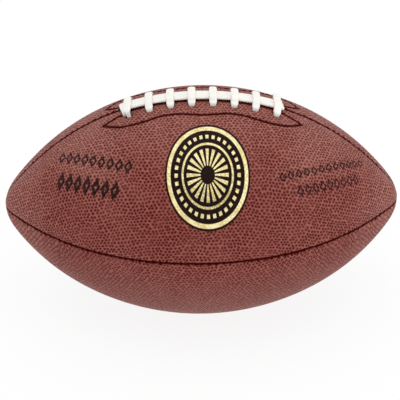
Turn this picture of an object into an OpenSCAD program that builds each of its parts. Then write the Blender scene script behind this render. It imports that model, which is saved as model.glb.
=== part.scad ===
// Laced american football: four cover panels with their linings, one threaded lace,
// the facings and tongue under it, and an inflated bladder with its needle valve.
// +X runs from point to point and +Z goes up through the middle of the laces.
// The origin is the centre of the ball.

/* [Ball] */
// Length from point to point
ball_length = 288; // [276:1:292]
// Diameter round the middle, outside the cover
ball_d = 167.75; // [162:0.25:172]
// Radius at which each point turns over to its blunt end
point_r = 8.4; // [6:0.1:11]
// Radius of the pinhole that the four panels leave at each point
pinhole_r = 1.4; // [1:0.1:2]

/* [Cover panels] */
// Thickness of a cover panel
cover_t = 2.2; // [1.8:0.1:2.6]
// Depth of the seam groove at the outside
groove_d = 1.2; // [0.6:0.1:1.6]
// Width of the rounding on each side of a seam
groove_w = 2.2; // [1.4:0.1:3]
// Width of the edge that is turned in along a seam
turn_w = 4.4; // [3:0.1:6]
// Thickness that the turned-in edge adds inside
turn_t = 1.4; // [1.2:0.1:1.8]
// Clearance between the two panels of a seam
seam_gap = 0.1; // [0.05:0.05:0.3]
// Extra gap between the panels along the unsewn slit under the lace
slit_gap = 0.8; // [0.4:0.1:1.2]
// Length of the unsewn slit
slit_length = 116; // [108:1:124]

/* [Layers inside the cover] */
// Thickness of a panel lining
lining_t = 1.1; // [0.8:0.1:1.2]
// Clearance between two layers
layer_gap = 0.1; // [0.05:0.05:0.2]
// Thickness of a lace facing
facing_t = 1.3; // [1:0.1:1.8]
// Length of a facing between the tips of its wings
facing_length = 142; // [138:1:146]
// Distance from the slit to a facing's outer edge
facing_w = 24.5; // [22:0.5:26]
// Distance from the slit to the tip of a facing's wing
wing_tip_c = 13; // [11:0.5:15]
// Distance from the slit to a facing's inner edge
facing_inner_c = 2.4; // [1.6:0.1:3.4]
// Thickness of the tongue under the lace
tongue_t = 1.5; // [1.2:0.1:2]
// Length of the tongue
tongue_length = 128; // [124:1:132]
// Width of the tongue
tongue_w = 34; // [32:1:36]

/* [Lace] */
// Distance of the laces' middle from the ball's middle
lace_x = 2; // [-3:0.1:3]
// Number of cross stitches
crosses = 8; // [6:1:8]
// Distance between two cross stitches
lace_pitch = 14.7; // [14:0.1:15.2]
// Distance from the seam to the lace holes at the middle of a row
hole_c = 9.8; // [9.6:0.1:11.5]
// How much farther from the seam the row's end holes are
hole_bow = 1.4; // [0.4:0.1:1.6]
// Diameter of a lace hole
hole_d = 5.6; // [5.2:0.1:6.4]
// Width of the lace where it lies along the slit
lace_w = 11; // [10:0.1:11.4]
// Thickness of the lace where it lies along the slit
lace_t = 2.8; // [2.4:0.1:3.4]
// Width of the lace where it is pulled across
cross_w = 5.4; // [4.8:0.1:6]
// Thickness of the lace where it is pulled across
cross_t = 2.6; // [2:0.1:2.8]
// Width of the lace where it is gathered in a hole
gathered_w = 4.5; // [3.8:0.1:4.6]
// Width of the lace where two passes go down one behind the other
shared_w = 2.9; // [2.6:0.1:3.4]
// Clearance between the lace and what it lies on
lace_gap = 0.1; // [0.05:0.05:0.2]

/* [Bladder] */
// Thickness of the bladder
bladder_t = 0.9; // [0.7:0.1:1.2]
// Clearance between the bladder and what it presses on
bladder_gap = 0.3; // [0.3:0.05:0.5]
// Diameter of the patch round the valve
patch_d = 34; // [28:1:40]
// Thickness of the patch round the valve
patch_t = 1.2; // [0.8:0.1:1.6]

/* [Valve] */
// Diameter of the inflation needle's bore
needle_bore_d = 2.1; // [2:0.1:2.6]
// Length of the inflation needle's bore
needle_bore_length = 11.5; // [10:0.5:12]
// Diameter of the valve core
core_d = 5.6; // [5:0.1:6]
// Length of the valve core
core_length = 13; // [12.5:0.1:14]
// Diameter of the valve body's stem
stem_d = 8.8; // [8.2:0.1:9.4]
// Length of the valve body
valve_length = 16; // [15:0.5:18]
// Diameter of the valve body's foot inside the bladder
foot_d = 18; // [15:0.5:22]
// Thickness of the rim of that foot
foot_t = 1; // [0.8:0.1:1.6]
// Diameter of the valve's hole in the cover
valve_hole_d = 9.2; // [8.8:0.1:10]
// Depth of the valve body's end below the outside of the cover
valve_sunk = 0.7; // [0.4:0.1:1]
// Running clearance of the core in the body
core_gap = 0.05; // [0.02:0.01:0.1]
// Diameter of the air hole under the core
air_hole_d = 2.4; // [2:0.1:3]

/* [Hidden] */
$fn = 48;

// How full the side of the ball is: shares of its radius lost towards the points.
belly_share = 0.70;
belly_power = 4.6;
end_power = 80;
// The panels swell between their seams by this share of the radius at the points.
lobe_share = 0.09;
lobe_power = 4;

ball_r = ball_d / 2;
half_length = ball_length / 2;
point_share = point_r / ball_r;
// A station is an angle along the ball: 0 at its middle, 90 at a point.
station_end = asin(1 - pow(pinhole_r / point_r, 2) / end_power);
fine_steps = 24;
coarse_steps = 12;
fine_stations = [for (i = [0:fine_steps]) station_end * (2 * i / fine_steps - 1)];
coarse_stations = [for (i = [0:coarse_steps]) station_end * (2 * i / coarse_steps - 1)];
slope_step = 0.25;

// Depths below the outside of the cover.
turned_depth = cover_t + turn_t;
lining_depth = cover_t + layer_gap;
// A coarse layer's flats dip under the curve that their corners lie on, most at the middle.
coarse_dip = radius_at(coarse_stations[coarse_steps / 2 + 1] / 2)
    - (radius_at(0) + radius_at(coarse_stations[coarse_steps / 2 + 1])) / 2;
facing_depth = lining_depth + lining_t + coarse_dip + layer_gap;
run_depth = facing_depth + facing_t + lace_gap;
tongue_depth = run_depth + cross_t + lace_gap;
bladder_depth = turned_depth + bladder_gap;
dent_depth = tongue_depth + tongue_t + bladder_gap - bladder_depth;
overrun = cover_t;

// Where each panel starts, counted round +X from +Z towards -Y.
lace_front_from = 0;
lower_front_from = 90;
lower_rear_from = 180;
lace_rear_from = 270;
valve_angle = lace_rear_from + 45;

// Radius of the ball at a station, before the panels' swell.
function radius_at(s) = let (u = abs(sin(s)))
    ball_r * (1 - belly_share * u * u - (1 - belly_share - point_share) * pow(u, belly_power))
    * sqrt(max(0, 1 - pow(u, end_power)));
function axial_at(s) = half_length * sin(s);
// Outward direction at a station, as its share along X and its share away from the axis.
function slope_at(s) =
    let (dx = axial_at(s + slope_step) - axial_at(s - slope_step),
         dr = radius_at(s + slope_step) - radius_at(s - slope_step),
         n = norm([dx, dr]))
    [-dr / n, dx / n];
// A point at a station and an angle round the ball, at a depth under the outside.
function on_ball(s, turn, depth) =
    let (n = slope_at(s),
         swell = 1 - lobe_share * pow(abs(sin(s)), lobe_power) * cos(4 * turn),
         r = radius_at(s) * swell - depth * n[1])
    [axial_at(s) - depth * n[0], -r * sin(turn), r * cos(turn)];
// The station at a distance along the laces from their middle, and the angle that a
// distance round the ball takes there.
function station_of(x) = asin((x + lace_x) / half_length);
function turn_of(s, c) = c / radius_at(s) * 180 / PI;
function at_lace(x, c, height) = let (s = station_of(x)) on_ball(s, turn_of(s, c), -height);

// Sides of a skin over rings of n points that run anticlockwise round the way ahead.
function side_faces(rings, n) = [for (i = [0:rings - 2], k = [0:n - 1])
    let (a = i * n + k, b = i * n + (k + 1) % n) each [[a, b + n, b], [a, a + n, b + n]]];
// Sides and ends of a flat skin: point k of a ring faces point n - 1 - k across the thickness.
function skin_faces(rings, n) = let (o = (rings - 1) * n) concat(side_faces(rings, n),
    [for (k = [0:n / 2 - 2]) each [[k, k + 1, n - 2 - k], [k, n - 2 - k, n - 1 - k]]],
    [for (k = [0:n / 2 - 2]) each [[o + k, o + n - 2 - k, o + k + 1],
        [o + k, o + n - 1 - k, o + n - 2 - k]]]);
// A layer between an outer and an inner row of points at each station.
module layer(outer, inner) {
    n = 2 * len(outer[0]);
    rings = [for (i = [0:len(outer) - 1])
        concat(outer[i], [for (k = [len(inner[i]) - 1:-1:0]) inner[i][k]])];
    polyhedron([for (r = rings) each r], skin_faces(len(rings), n), convexity = 6);
}

// The rows across one edge of a panel, from the seam inwards: distance from the seam,
// its limit as a share of the panel's width, depth outside and depth inside.
edge_shares = [0.012, 0.032, 0.055, 0.085, 0.1];
groove_shares = [1, 0.4, 0, 0, 0];
function edge_rows(gap) = [
    [gap, groove_d, turned_depth],
    [gap + groove_w * 0.36, groove_d * groove_shares[1], turned_depth],
    [gap + groove_w, 0, turned_depth],
    [gap + turn_w, 0, turned_depth],
    [gap + turn_w + layer_gap, 0, cover_t]];
middle_share = 0.13;
middle_steps = 8;
middle_shares = [for (k = [0:middle_steps]) middle_share + (1 - 2 * middle_share) * k / middle_steps];
function is_slit(s, seam) = seam % 360 == 0 && abs(axial_at(s) - lace_x) < slit_length / 2;
function seam_half(s, seam) = seam_gap / 2 + (is_slit(s, seam) ? slit_gap / 2 : 0);
function edge_turn(s, c, share) = min(turn_of(s, c), share * 90);

// One cover panel: its outside with the seam grooves, and its edges turned in.
module cover_panel(from) {
    outer = [for (s = fine_stations) let (lo = edge_rows(seam_half(s, from)),
        hi = edge_rows(seam_half(s, from + 90)))
        concat(
            [for (k = [0:4]) on_ball(s, from + edge_turn(s, lo[k][0], edge_shares[k]), lo[k][1])],
            [for (m = middle_shares) on_ball(s, from + m * 90, 0)],
            [for (k = [4:-1:0])
                on_ball(s, from + 90 - edge_turn(s, hi[k][0], edge_shares[k]), hi[k][1])])];
    inner = [for (s = fine_stations) let (lo = edge_rows(seam_half(s, from)),
        hi = edge_rows(seam_half(s, from + 90)))
        concat(
            [for (k = [0:4]) on_ball(s, from + edge_turn(s, lo[k][0], edge_shares[k]), lo[k][2])],
            [for (m = middle_shares) on_ball(s, from + m * 90, cover_t)],
            [for (k = [4:-1:0])
                on_ball(s, from + 90 - edge_turn(s, hi[k][0], edge_shares[k]), hi[k][2])])];
    color("#82473f") layer(outer, inner);
}

// The woven lining of one panel, between its turned-in edges.
lining_share = 0.108;
module panel_lining(from) {
    edge = turn_w + slit_gap / 2 + seam_gap / 2 + 3 * layer_gap;
    function row(s, depth) = concat(
        [on_ball(s, from + edge_turn(s, edge, lining_share), depth)],
        [for (m = middle_shares) on_ball(s, from + m * 90, depth)],
        [on_ball(s, from + 90 - edge_turn(s, edge, lining_share), depth)]);
    color("#c9b994") layer([for (s = coarse_stations) row(s, lining_depth)],
        [for (s = coarse_stations) row(s, lining_depth + lining_t)]);
}

// Lace holes: front_x, rear_x and hole_at place the two ends of each cross stitch.
// Each end of the long strand has a hole beside that of an end stitch, and nearer the seam.
last = crosses - 1;
function cross_x(k) = (k - last / 2) * lace_pitch;
function hole_at(k) = hole_c + hole_bow * pow(2 * k / last - 1, 2);
pair_step = cross_t + lace_gap;
elbow_x = cross_x(0) - shared_w;
elbow_c = hole_at(0) - pair_step * 1.3;
function front_x(k) = cross_x(k) + (k == 0 ? shared_w * 0.1 : 0);
function rear_x(k) = -front_x(last - k);
module lace_hole(x, c) {
    s = station_of(x);
    depth = run_depth + overrun;
    translate(at_lace(x, c, 0)) rotate([turn_of(s, c), 0, 0])
        rotate([0, asin(slope_at(s)[0]), 0]) translate([0, 0, -depth])
            cylinder(h = depth + overrun, d = hole_d);
}
// side is 1 for the front row of holes and -1 for the rear row, turned half round.
module lace_holes(side) {
    lace_hole(side * elbow_x, side * elbow_c);
    for (k = [0:last]) lace_hole(side * front_x(k), side * hole_at(k));
}
// Places children on the valve's axis, with z = 0 at the outside of the cover.
module at_valve() { rotate([valve_angle, 0, 0]) translate([0, 0, ball_r]) children(); }
module valve_hole(d, depth) {
    at_valve() translate([0, 0, -depth]) cylinder(h = depth + overrun, d = d);
}

module panel_lace_front() difference() {
    cover_panel(lace_front_from);
    lace_holes(1);
}
module panel_lace_rear() difference() {
    cover_panel(lace_rear_from);
    lace_holes(-1);
    valve_hole(valve_hole_d, turned_depth);
}
module panel_lower_front() cover_panel(lower_front_from);
module panel_lower_rear() cover_panel(lower_rear_from);
module lining_lace_front() difference() {
    panel_lining(lace_front_from);
    lace_holes(1);
}
module lining_lace_rear() difference() {
    panel_lining(lace_rear_from);
    lace_holes(-1);
    valve_hole(valve_hole_d, bladder_depth);
}
module lining_lower_front() panel_lining(lower_front_from);
module lining_lower_rear() panel_lining(lower_rear_from);

// Half outline of a facing, from its middle to the tip of its wing, as shares of its
// half length, of the way from the tip to the outer edge, and of the way to the inner edge.
facing_x_shares = [0, 0.25, 0.5, 0.72, 0.84, 0.93, 0.98];
facing_out_shares = [0.96, 0.77, 0.97, 1, 0.86, 0.48, 0.16];
facing_in_shares = [1, 1, 1, 1, 0.62, 0.28, 0.1];
facing_rows = 4;
module facing(side) {
    ends = len(facing_x_shares) - 1;
    rows = [for (i = [-ends:ends]) let (k = abs(i))
        [(i < 0 ? -1 : 1) * facing_x_shares[k] * facing_length / 2,
         wing_tip_c - (wing_tip_c - facing_inner_c) * facing_in_shares[k],
         wing_tip_c + (facing_w - wing_tip_c) * facing_out_shares[k]]];
    function row(r, depth) = [for (j = [0:facing_rows])
        at_lace(r[0], side * (r[1] + (r[2] - r[1]) * j / facing_rows), -depth)];
    color("#b89a72") difference() {
        layer([for (r = rows) row(r, facing_depth)],
            [for (r = rows) row(r, facing_depth + facing_t)]);
        lace_holes(side);
    }
}
module facing_front() facing(1);
module facing_rear() facing(-1);

// The tongue lies under the lace and keeps it off the bladder.
tongue_x_shares = [-1, -0.96, -0.84, -0.6, -0.3, 0, 0.3, 0.6, 0.84, 0.96, 1];
tongue_round_power = 8;
tongue_end_share = 0.5;
tongue_rows = 6;
module tongue() {
    function half_w(u) = tongue_w / 2
        * (tongue_end_share + (1 - tongue_end_share) * (1 - pow(abs(u), tongue_round_power)));
    function row(u, depth) = [for (j = [0:tongue_rows])
        at_lace(u * tongue_length / 2, half_w(u) * (2 * j / tongue_rows - 1), -depth)];
    color("#d8cdb4") layer([for (u = tongue_x_shares) row(u, tongue_depth)],
        [for (u = tongue_x_shares) row(u, tongue_depth + tongue_t)]);
}

// The lace is one flat strip, threaded from end to end without a break. Each row of its route
// gives axial place, distance from the seam, height over the cover, the turn of its width
// from the X direction, its width and its thickness.
rest_h = lace_gap + cross_t / 2;
band_h = lace_gap + lace_t / 2;
over_h = 2 * lace_gap + lace_t + cross_t / 2;
run_h = -run_depth - cross_t / 2;
bend_r = cross_t * 0.62;
bend_cut = bend_r * (1 - cos(45));
diagonal_turn = atan2(lace_pitch, 2 * (hole_c - bend_r));
// Half of a cross stitch, from the run inside, up through its hole at c, and over to the slit.
// A paired stitch is narrower in its hole, and climbs straight over the end of the strand.
function half_stitch(c, paired) =
    let (top = paired ? over_h : rest_h, low_w = paired ? shared_w : gathered_w,
         high_w = paired ? (gathered_w + cross_w) / 2 : gathered_w)
    concat(
        [[c - bend_r, run_h, low_w, 0.7],
         [c - bend_cut, run_h + bend_cut, low_w, 0.25],
         [c, run_h + bend_r, low_w, 0],
         [c, rest_h - bend_r, low_w, 0]],
        paired ? [[c, top - bend_r, high_w, 0]] : [],
        [[c - bend_cut, top - bend_cut, high_w * 0.3 + cross_w * 0.7, 0],
         [c - bend_r, top, cross_w, 0],
         [lace_w / 2 + cross_t * 0.55, top * 0.4 + over_h * 0.6, cross_w, 0],
         [lace_w / 2 * 0.85, over_h - lace_gap, cross_w, 0]]);
// The rows of half a stitch: xm is the stitch's middle, x and c its hole, side 1 or -1.
function half_rows(xm, x, c, side, paired, turn) = [for (q = half_stitch(c, paired))
    [xm + (x - xm) * q[0] / c, side * q[0], q[1], turn * q[3], q[2], cross_t]];
function backwards(rows) = [for (j = [len(rows) - 1:-1:0]) rows[j]];
// A cross stitch from the front hole to the rear hole, and how its ends turn inside.
function stitch(k, turn_in, turn_out) = let (xm = (front_x(k) + rear_x(k)) / 2) concat(
    half_rows(xm, front_x(k), hole_at(k), 1, k == 0, turn_in),
    [[xm, 0, over_h, 0, cross_w, cross_t]],
    backwards(half_rows(xm, rear_x(k), hole_at(k), -1, k == last, turn_out)));
// The run inside from one stitch's rear hole to the next one's front hole.
function inside_run(k) = [[(rear_x(k) + front_x(k - 1)) / 2, 0, run_h, diagonal_turn,
    gathered_w + lace_gap, cross_t]];
// One end of the long strand: up through its front hole, round an elbow and onto the slit.
// The elbow's two edges, as shares of the lace's width, along from the hole and from the seam.
elbow_edges = [[[-0.19, 0.45], [0.21, 0.48]], [[-0.27, 0.18], [0.25, 0.48]],
    [[-0.34, -0.18], [0.29, 0.48]], [[-0.35, -0.43], [0.33, 0.485]],
    [[-0.16, -0.5], [0.4, 0.495]], [[0.15, -0.5], [0.5, 0.5]]];
// The strand is tighter at its second end, where the elbow reaches out past its hole this share
// as far as at its first.
tight_reach = 0.6;
function reached(p, reach) = [p[0] * (p[0] < 0 ? reach : 1), p[1]];
function strand_end(reach) = concat([
    [elbow_x, elbow_c, run_h + bend_r, 0, shared_w, cross_t],
    [elbow_x, elbow_c, rest_h - bend_r, 0, shared_w, cross_t],
    [elbow_x, elbow_c - bend_cut, rest_h - bend_cut, 0, shared_w, cross_t],
    [elbow_x, elbow_c - bend_r, rest_h, 0, shared_w * 1.1, cross_t]],
    [for (i = [0:len(elbow_edges) - 1]) let (a = reached(elbow_edges[i][0], reach),
        b = elbow_edges[i][1], middle = (a + b) / 2 * lace_w, t = i / (len(elbow_edges) - 1))
        [elbow_x + middle[0], middle[1], rest_h + (band_h - rest_h) * t,
         atan2(b[1] - a[1], b[0] - a[0]), norm(b - a) * lace_w,
         cross_t + (lace_t - cross_t) * t]]);
// An end turned half round the middle of the laces, for the other end of the strand.
function turned(rows) = [for (q = backwards(rows)) [-q[0], -q[1], q[2], q[3], q[4], q[5]]];
band_end = cross_x(0) + lace_pitch / 2;
band = [for (i = [0:last]) [band_end * (1 - 2 * i / last), 0, band_h, 90, lace_w, lace_t]];
// The two ends of the lace are tucked in beside each other under the left of the slit.
tail_c = hole_c * 0.45;
strand_tail = [
    [elbow_x - shared_w, -tail_c, run_h, -12, shared_w, cross_t],
    [elbow_x - shared_w * 0.6, 0, run_h, -12, shared_w * 1.2, cross_t],
    [elbow_x - shared_w * 0.1, elbow_c - bend_r, run_h, -8, shared_w, cross_t],
    [elbow_x, elbow_c - bend_cut, run_h + bend_cut, 0, shared_w, cross_t]];
last_tail = [
    [cross_x(0) + shared_w * 0.3, -tail_c, run_h, -8, gathered_w, cross_t],
    [cross_x(0) + shared_w * 0.5, -tail_c * 0.2, run_h, -8, gathered_w, cross_t]];
first_rise = [
    [-elbow_x, bend_cut - elbow_c, run_h + bend_cut, 0, shared_w, cross_t],
    [-elbow_x - shared_w * 0.1, bend_r - elbow_c, run_h, 4, shared_w, cross_t],
    [(front_x(last) - elbow_x) / 2, 0, run_h, 4, gathered_w, cross_t]];
route = concat(strand_tail, strand_end(1), band, turned(strand_end(tight_reach)), first_rise,
    [for (k = [last:-1:0]) each concat(
        stitch(k, k == last ? 4 : diagonal_turn, k == 0 ? -6 : diagonal_turn),
        k == 0 ? last_tail : inside_run(k))]);

function unit(v) = v / norm(v);
// Directions along X and round the ball in the cover's surface at a place of the route.
function along_at(x, c) = let (s = station_of(x), n = slope_at(s), t = turn_of(s, c))
    [n[1], n[0] * sin(t), -n[0] * cos(t)];
function round_at(x, c) = let (t = turn_of(station_of(x), c)) [0, -cos(t), -sin(t)];
function route_point(i) = at_lace(route[i][0], route[i][1], route[i][2]);
// Eight corners of the lace's section: half widths and half thicknesses as shares.
section_shares = [[1, 0.45], [0.72, 1], [-0.72, 1], [-1, 0.45],
    [-1, -0.45], [-0.72, -1], [0.72, -1], [1, -0.45]];
function lace_ring(i) =
    let (q = route[i], n = len(route),
         ahead = unit(route_point(min(i + 1, n - 1)) - route_point(max(i - 1, 0))),
         across = along_at(q[0], q[1]) * cos(q[3]) + round_at(q[0], q[1]) * sin(q[3]),
         thick = unit(cross(ahead, across)))
    [for (p = section_shares)
        route_point(i) + across * (p[0] * q[4] / 2) + thick * (p[1] * q[5] / 2)];
module lace() {
    color("#f4f4ee") polyhedron([for (i = [0:len(route) - 1]) each lace_ring(i)],
        skin_faces(len(route), len(section_shares)), convexity = 12);
}

// The bladder presses on the linings, and is pushed in under the tongue.
spokes = 24;
bladder_turns = [for (k = [0:spokes - 1]) k * 360 / spokes];
dent_full_x = (tongue_length / 2 + bladder_gap) * 1.16;
dent_end_x = dent_full_x * 1.38;
dent_full_c = (tongue_w / 2 + bladder_gap) * 1.32;
dent_end_c = dent_full_c * 2;
dent_spokes = 2;
function fade(value, full, end) = max(0, min(1, (end - value) / (end - full)));
function dent(s, turn) =
    let (away = min(turn, 360 - turn) * PI / 180 * radius_at(s),
         end_c = min(dent_end_c, dent_spokes * 2 * PI / spokes * radius_at(s)))
    dent_depth * fade(abs(axial_at(s) - lace_x), dent_full_x, dent_end_x)
    * fade(away, dent_full_c, end_c);
module bladder_body(depth) {
    n = len(bladder_turns);
    rings = len(coarse_stations);
    points = concat(
        [for (s = coarse_stations) each
            [for (t = bladder_turns) on_ball(s, t, depth + dent(s, t))]],
        [[depth - half_length, 0, 0], [half_length - depth, 0, 0]]);
    ends = [for (k = [0:n - 1]) let (o = (rings - 1) * n) each [
        [rings * n, k, (k + 1) % n], [rings * n + 1, o + (k + 1) % n, o + k]]];
    polyhedron(points, concat(side_faces(rings, n), ends), convexity = 4);
}
module bladder() color("#2b2b2d") difference() {
    bladder_body(bladder_depth);
    bladder_body(bladder_depth + bladder_t);
    valve_hole(stem_d + 2 * layer_gap, valve_length);
}

// The patch that thickens the bladder round its valve, on the inside. It lies under the
// flats of the bladder that meet at the valve.
patch_depth = bladder_depth + bladder_t + layer_gap;
patch_drop = patch_t + patch_d / 4;
patch_stations = [for (i = [-1:1]) coarse_stations[coarse_steps / 2 + i]];
module valve_patch() {
    function row(s, depth) = [for (i = [-1:1]) on_ball(s, valve_angle + i * 360 / spokes, depth)];
    color("#3a3a3c") difference() {
        intersection() {
            layer([for (s = patch_stations) row(s, patch_depth)],
                [for (s = patch_stations) row(s, patch_depth + patch_t)]);
            at_valve() translate([0, 0, -patch_depth - patch_drop])
                cylinder(h = patch_drop + overrun, d = patch_d);
        }
        valve_hole(stem_d + 2 * layer_gap, valve_length);
    }
}

// The valve's rubber body: stem, dished foot under the patch, and the seat of the core.
foot_slope = tan(11);
module valve_body() {
    foot_z = -patch_depth - patch_t - layer_gap;
    foot_drop = foot_d / 2 * foot_slope;
    stem_r = stem_d / 2;
    seat_r = core_d / 2 + core_gap;
    seat_z = -valve_sunk - core_length - core_gap;
    color("#1d1d1f") at_valve() rotate_extrude() polygon([
        [seat_r, -valve_sunk], [stem_r, -valve_sunk], [stem_r, foot_z - stem_r * foot_slope],
        [foot_d / 2, foot_z - foot_drop], [foot_d / 2, foot_z - foot_drop - foot_t],
        [stem_r, foot_z - foot_drop - 2 * foot_t], [stem_r, -valve_sunk - valve_length],
        [air_hole_d / 2, -valve_sunk - valve_length], [air_hole_d / 2, seat_z], [seat_r, seat_z]]);
}

// The self-sealing core that the inflation needle goes into.
core_mouth = needle_bore_d * 0.3;
module valve_core() {
    bottom = -valve_sunk - core_length;
    top = -valve_sunk - core_mouth;
    color("#4a4a4c") at_valve() rotate_extrude() polygon([
        [0, bottom], [core_d / 2, bottom], [core_d / 2, -valve_sunk],
        [needle_bore_d / 2 + core_mouth, -valve_sunk], [needle_bore_d / 2, top],
        [needle_bore_d / 2, top - needle_bore_length], [0, top - needle_bore_length]]);
}

panel_lace_front();
panel_lace_rear();
panel_lower_front();
panel_lower_rear();
lining_lace_front();
lining_lace_rear();
lining_lower_front();
lining_lower_rear();
facing_front();
facing_rear();
tongue();
lace();
bladder();
valve_patch();
valve_body();
valve_core();
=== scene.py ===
"""A laced american football: pebbled cover panels, sewn seams and facings, and one white lace."""
from math import atan2, copysign, cos, degrees, hypot, pi, radians, sin, sqrt

import bpy
from mathutils import Matrix, Vector


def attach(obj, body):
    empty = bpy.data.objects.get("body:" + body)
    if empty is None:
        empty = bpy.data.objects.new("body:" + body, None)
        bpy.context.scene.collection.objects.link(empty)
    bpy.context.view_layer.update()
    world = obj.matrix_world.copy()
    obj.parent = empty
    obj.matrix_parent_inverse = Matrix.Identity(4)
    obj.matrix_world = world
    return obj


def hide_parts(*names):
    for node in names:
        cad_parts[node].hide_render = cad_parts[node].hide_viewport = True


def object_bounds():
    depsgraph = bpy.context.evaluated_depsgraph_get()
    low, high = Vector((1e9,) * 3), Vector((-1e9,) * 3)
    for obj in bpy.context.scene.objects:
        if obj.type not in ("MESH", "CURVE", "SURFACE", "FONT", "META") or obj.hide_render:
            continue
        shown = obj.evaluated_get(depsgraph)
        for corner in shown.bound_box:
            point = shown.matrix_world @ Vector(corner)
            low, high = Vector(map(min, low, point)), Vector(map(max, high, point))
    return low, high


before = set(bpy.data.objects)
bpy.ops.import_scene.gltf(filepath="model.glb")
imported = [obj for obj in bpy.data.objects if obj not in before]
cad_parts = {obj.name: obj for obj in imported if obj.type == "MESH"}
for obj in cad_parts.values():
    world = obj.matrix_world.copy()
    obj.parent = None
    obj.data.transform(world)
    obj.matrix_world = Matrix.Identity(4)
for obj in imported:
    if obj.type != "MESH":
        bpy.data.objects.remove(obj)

cad_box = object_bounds()
MM = 0.001

# The ball's form, as in the part. Its outline loses a share of the radius towards the points.
HALF_LENGTH = 144 * MM
BALL_R = 83.875 * MM
POINT_R = 8.4 * MM
PINHOLE_R = 1.4 * MM
BELLY_SHARE, BELLY_POWER = 0.70, 4.6
END_POWER = 80.0
SWELL_SHARE, SWELL_POWER = 0.09, 4.0
SLOPE_STEP = 0.2 * MM

# Cover panels and their seams. Near the points, the groove and the turned-in edge narrow to
# shares of the ball's radius there. The slit under the lace closes over its taper.
COVER_T = 2.2 * MM
TURNED_T = 3.6 * MM
TURNED_W, TURNED_SHARE = 4.4 * MM, 0.13
GROOVE_D = 1.2 * MM
GROOVE_W, GROOVE_SHARE = 2.2 * MM, 0.09
GROOVE_POWER = 2.0
SEAM_GAP = 0.1 * MM
SLIT_GAP = 0.8 * MM
SLIT_LENGTH = 116 * MM
SLIT_TAPER = 2.0 * MM
STITCH_LINE_D, STITCH_LINE_W = 0.45 * MM, 1.5 * MM
DIMPLE_D, DIMPLE_R = 0.6 * MM, 5.0 * MM

# A panel's mesh. Its columns stand closer together at the seams by the crowding.
PANEL_ROWS, PANEL_COLUMNS = 300, 140
EDGE_CROWDING = 0.42
OUTLINE_POINTS = 601

# The lace's middle along the ball, and its holes, cut by round cutters.
LACE_X = 2.0 * MM
HOLE_R = 2.5 * MM
HOLE_SIDES = 28
CUTTER_LENGTH = 14 * MM

# The lace's route, in millimetres.
CROSSES = 8
LAST = CROSSES - 1
LACE_PITCH = 14.7
HOLE_C, HOLE_BOW = 9.8, 1.4
LACE_W, LACE_T = 11.0, 2.8
CROSS_W, CROSS_T = 5.4, 2.6
GATHERED_W, SHARED_W = 4.5, 2.9
PAIRED_W = GATHERED_W * 0.85
LACE_GAP = 0.1
RUN_DEPTH = 5.93
BEND_R = CROSS_T * 0.62
TAIL_C = HOLE_C * 0.45

# The turn of the lace's width inside the ball, in degrees: at its tucked-in end, where it rises
# to its first hole, before the first cross and after the last.
TUCKED_TURN, RISING_TURN, FIRST_TURN, LAST_TURN = -12, -8, 4, -6

# The elbow at each end of the strand along the slit: its two edges, along from its hole and from
# the seam, as shares of the lace's width. At the second end it reaches out this share as far.
ELBOW_EDGES = ((-0.19, 0.45, 0.21, 0.48), (-0.27, 0.18, 0.25, 0.48), (-0.34, -0.18, 0.29, 0.48),
               (-0.35, -0.43, 0.33, 0.485), (-0.16, -0.50, 0.40, 0.495), (0.15, -0.50, 0.50, 0.50))
TIGHT_REACH = 0.6

# How square the lace's edges and its faces are: 1 is round, and less is squarer.
LACE_EDGE_POWER, LACE_FACE_POWER = 0.62, 0.72

# The winged stitching of the facings: distance along the lace and from the seam, in millimetres.
WING_OUT = ((0, 22.0), (8, 21.3), (17, 19.8), (28, 19.9), (38, 21.9), (47, 22.6), (56, 21.4),
            (63.5, 17.6))
FRONT_WING_TIP, REAR_WING_TIP = (69.0, 13.4), (68.6, 10.8)
FRONT_WING_IN = ((63.2, 10.9), (56.5, 7.8), (49.0, 5.0), (40.0, 3.6), (0, 3.4))
REAR_WING_IN = ((63.8, 6.9), (58.3, 4.8), (49.0, 3.8), (40.0, 3.4), (0, 3.4))
WING_STEPS = 10
WING_EDGE = (0.6 * MM, 1.4 * MM)

# Threads: a stitch's length, the step to the next one, and the thread's radius and depth. A
# seam's stitches cross it, and stop short of the points and of the slit.
SEAM_STITCH_PITCH = 4.8 * MM
WING_SEWING = (3.9 * MM, 4.4 * MM, 0.7 * MM, 0.08 * MM)
SEAM_SEWING = (2.8 * MM, SEAM_STITCH_PITCH, 0.55 * MM, 0.8 * MM)
LACE_SEAM_SEWING = (3.8 * MM, 3.6 * MM, 0.8 * MM, 0.5 * MM)
SEAM_TURN, SEAM_TURN_SPREAD, WING_TURN_SPREAD = radians(80), 0.16, 0.06
SEAM_END, SLIT_MARGIN = 5 * MM, 3 * MM
THREAD_FLATNESS = 0.8
WING_SEED, SEAM_SEED = 3, 11

# Valve, in the rear laced panel at mid-length.
VALVE_TURN = radians(315)
VALVE_HOLE_R = 4.6 * MM
VALVE_HOLE_SIDES = 48

# The hide's grain: the step of its pits, how far each strays from its place in steps, and how
# far the rows wander.
PEBBLE_PITCH = 2.57 * MM
PEBBLE_STRAY = 0.28
ROW_WANDER = 5.0 * MM
PIT_DEPTH = 0.46 * MM

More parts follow.
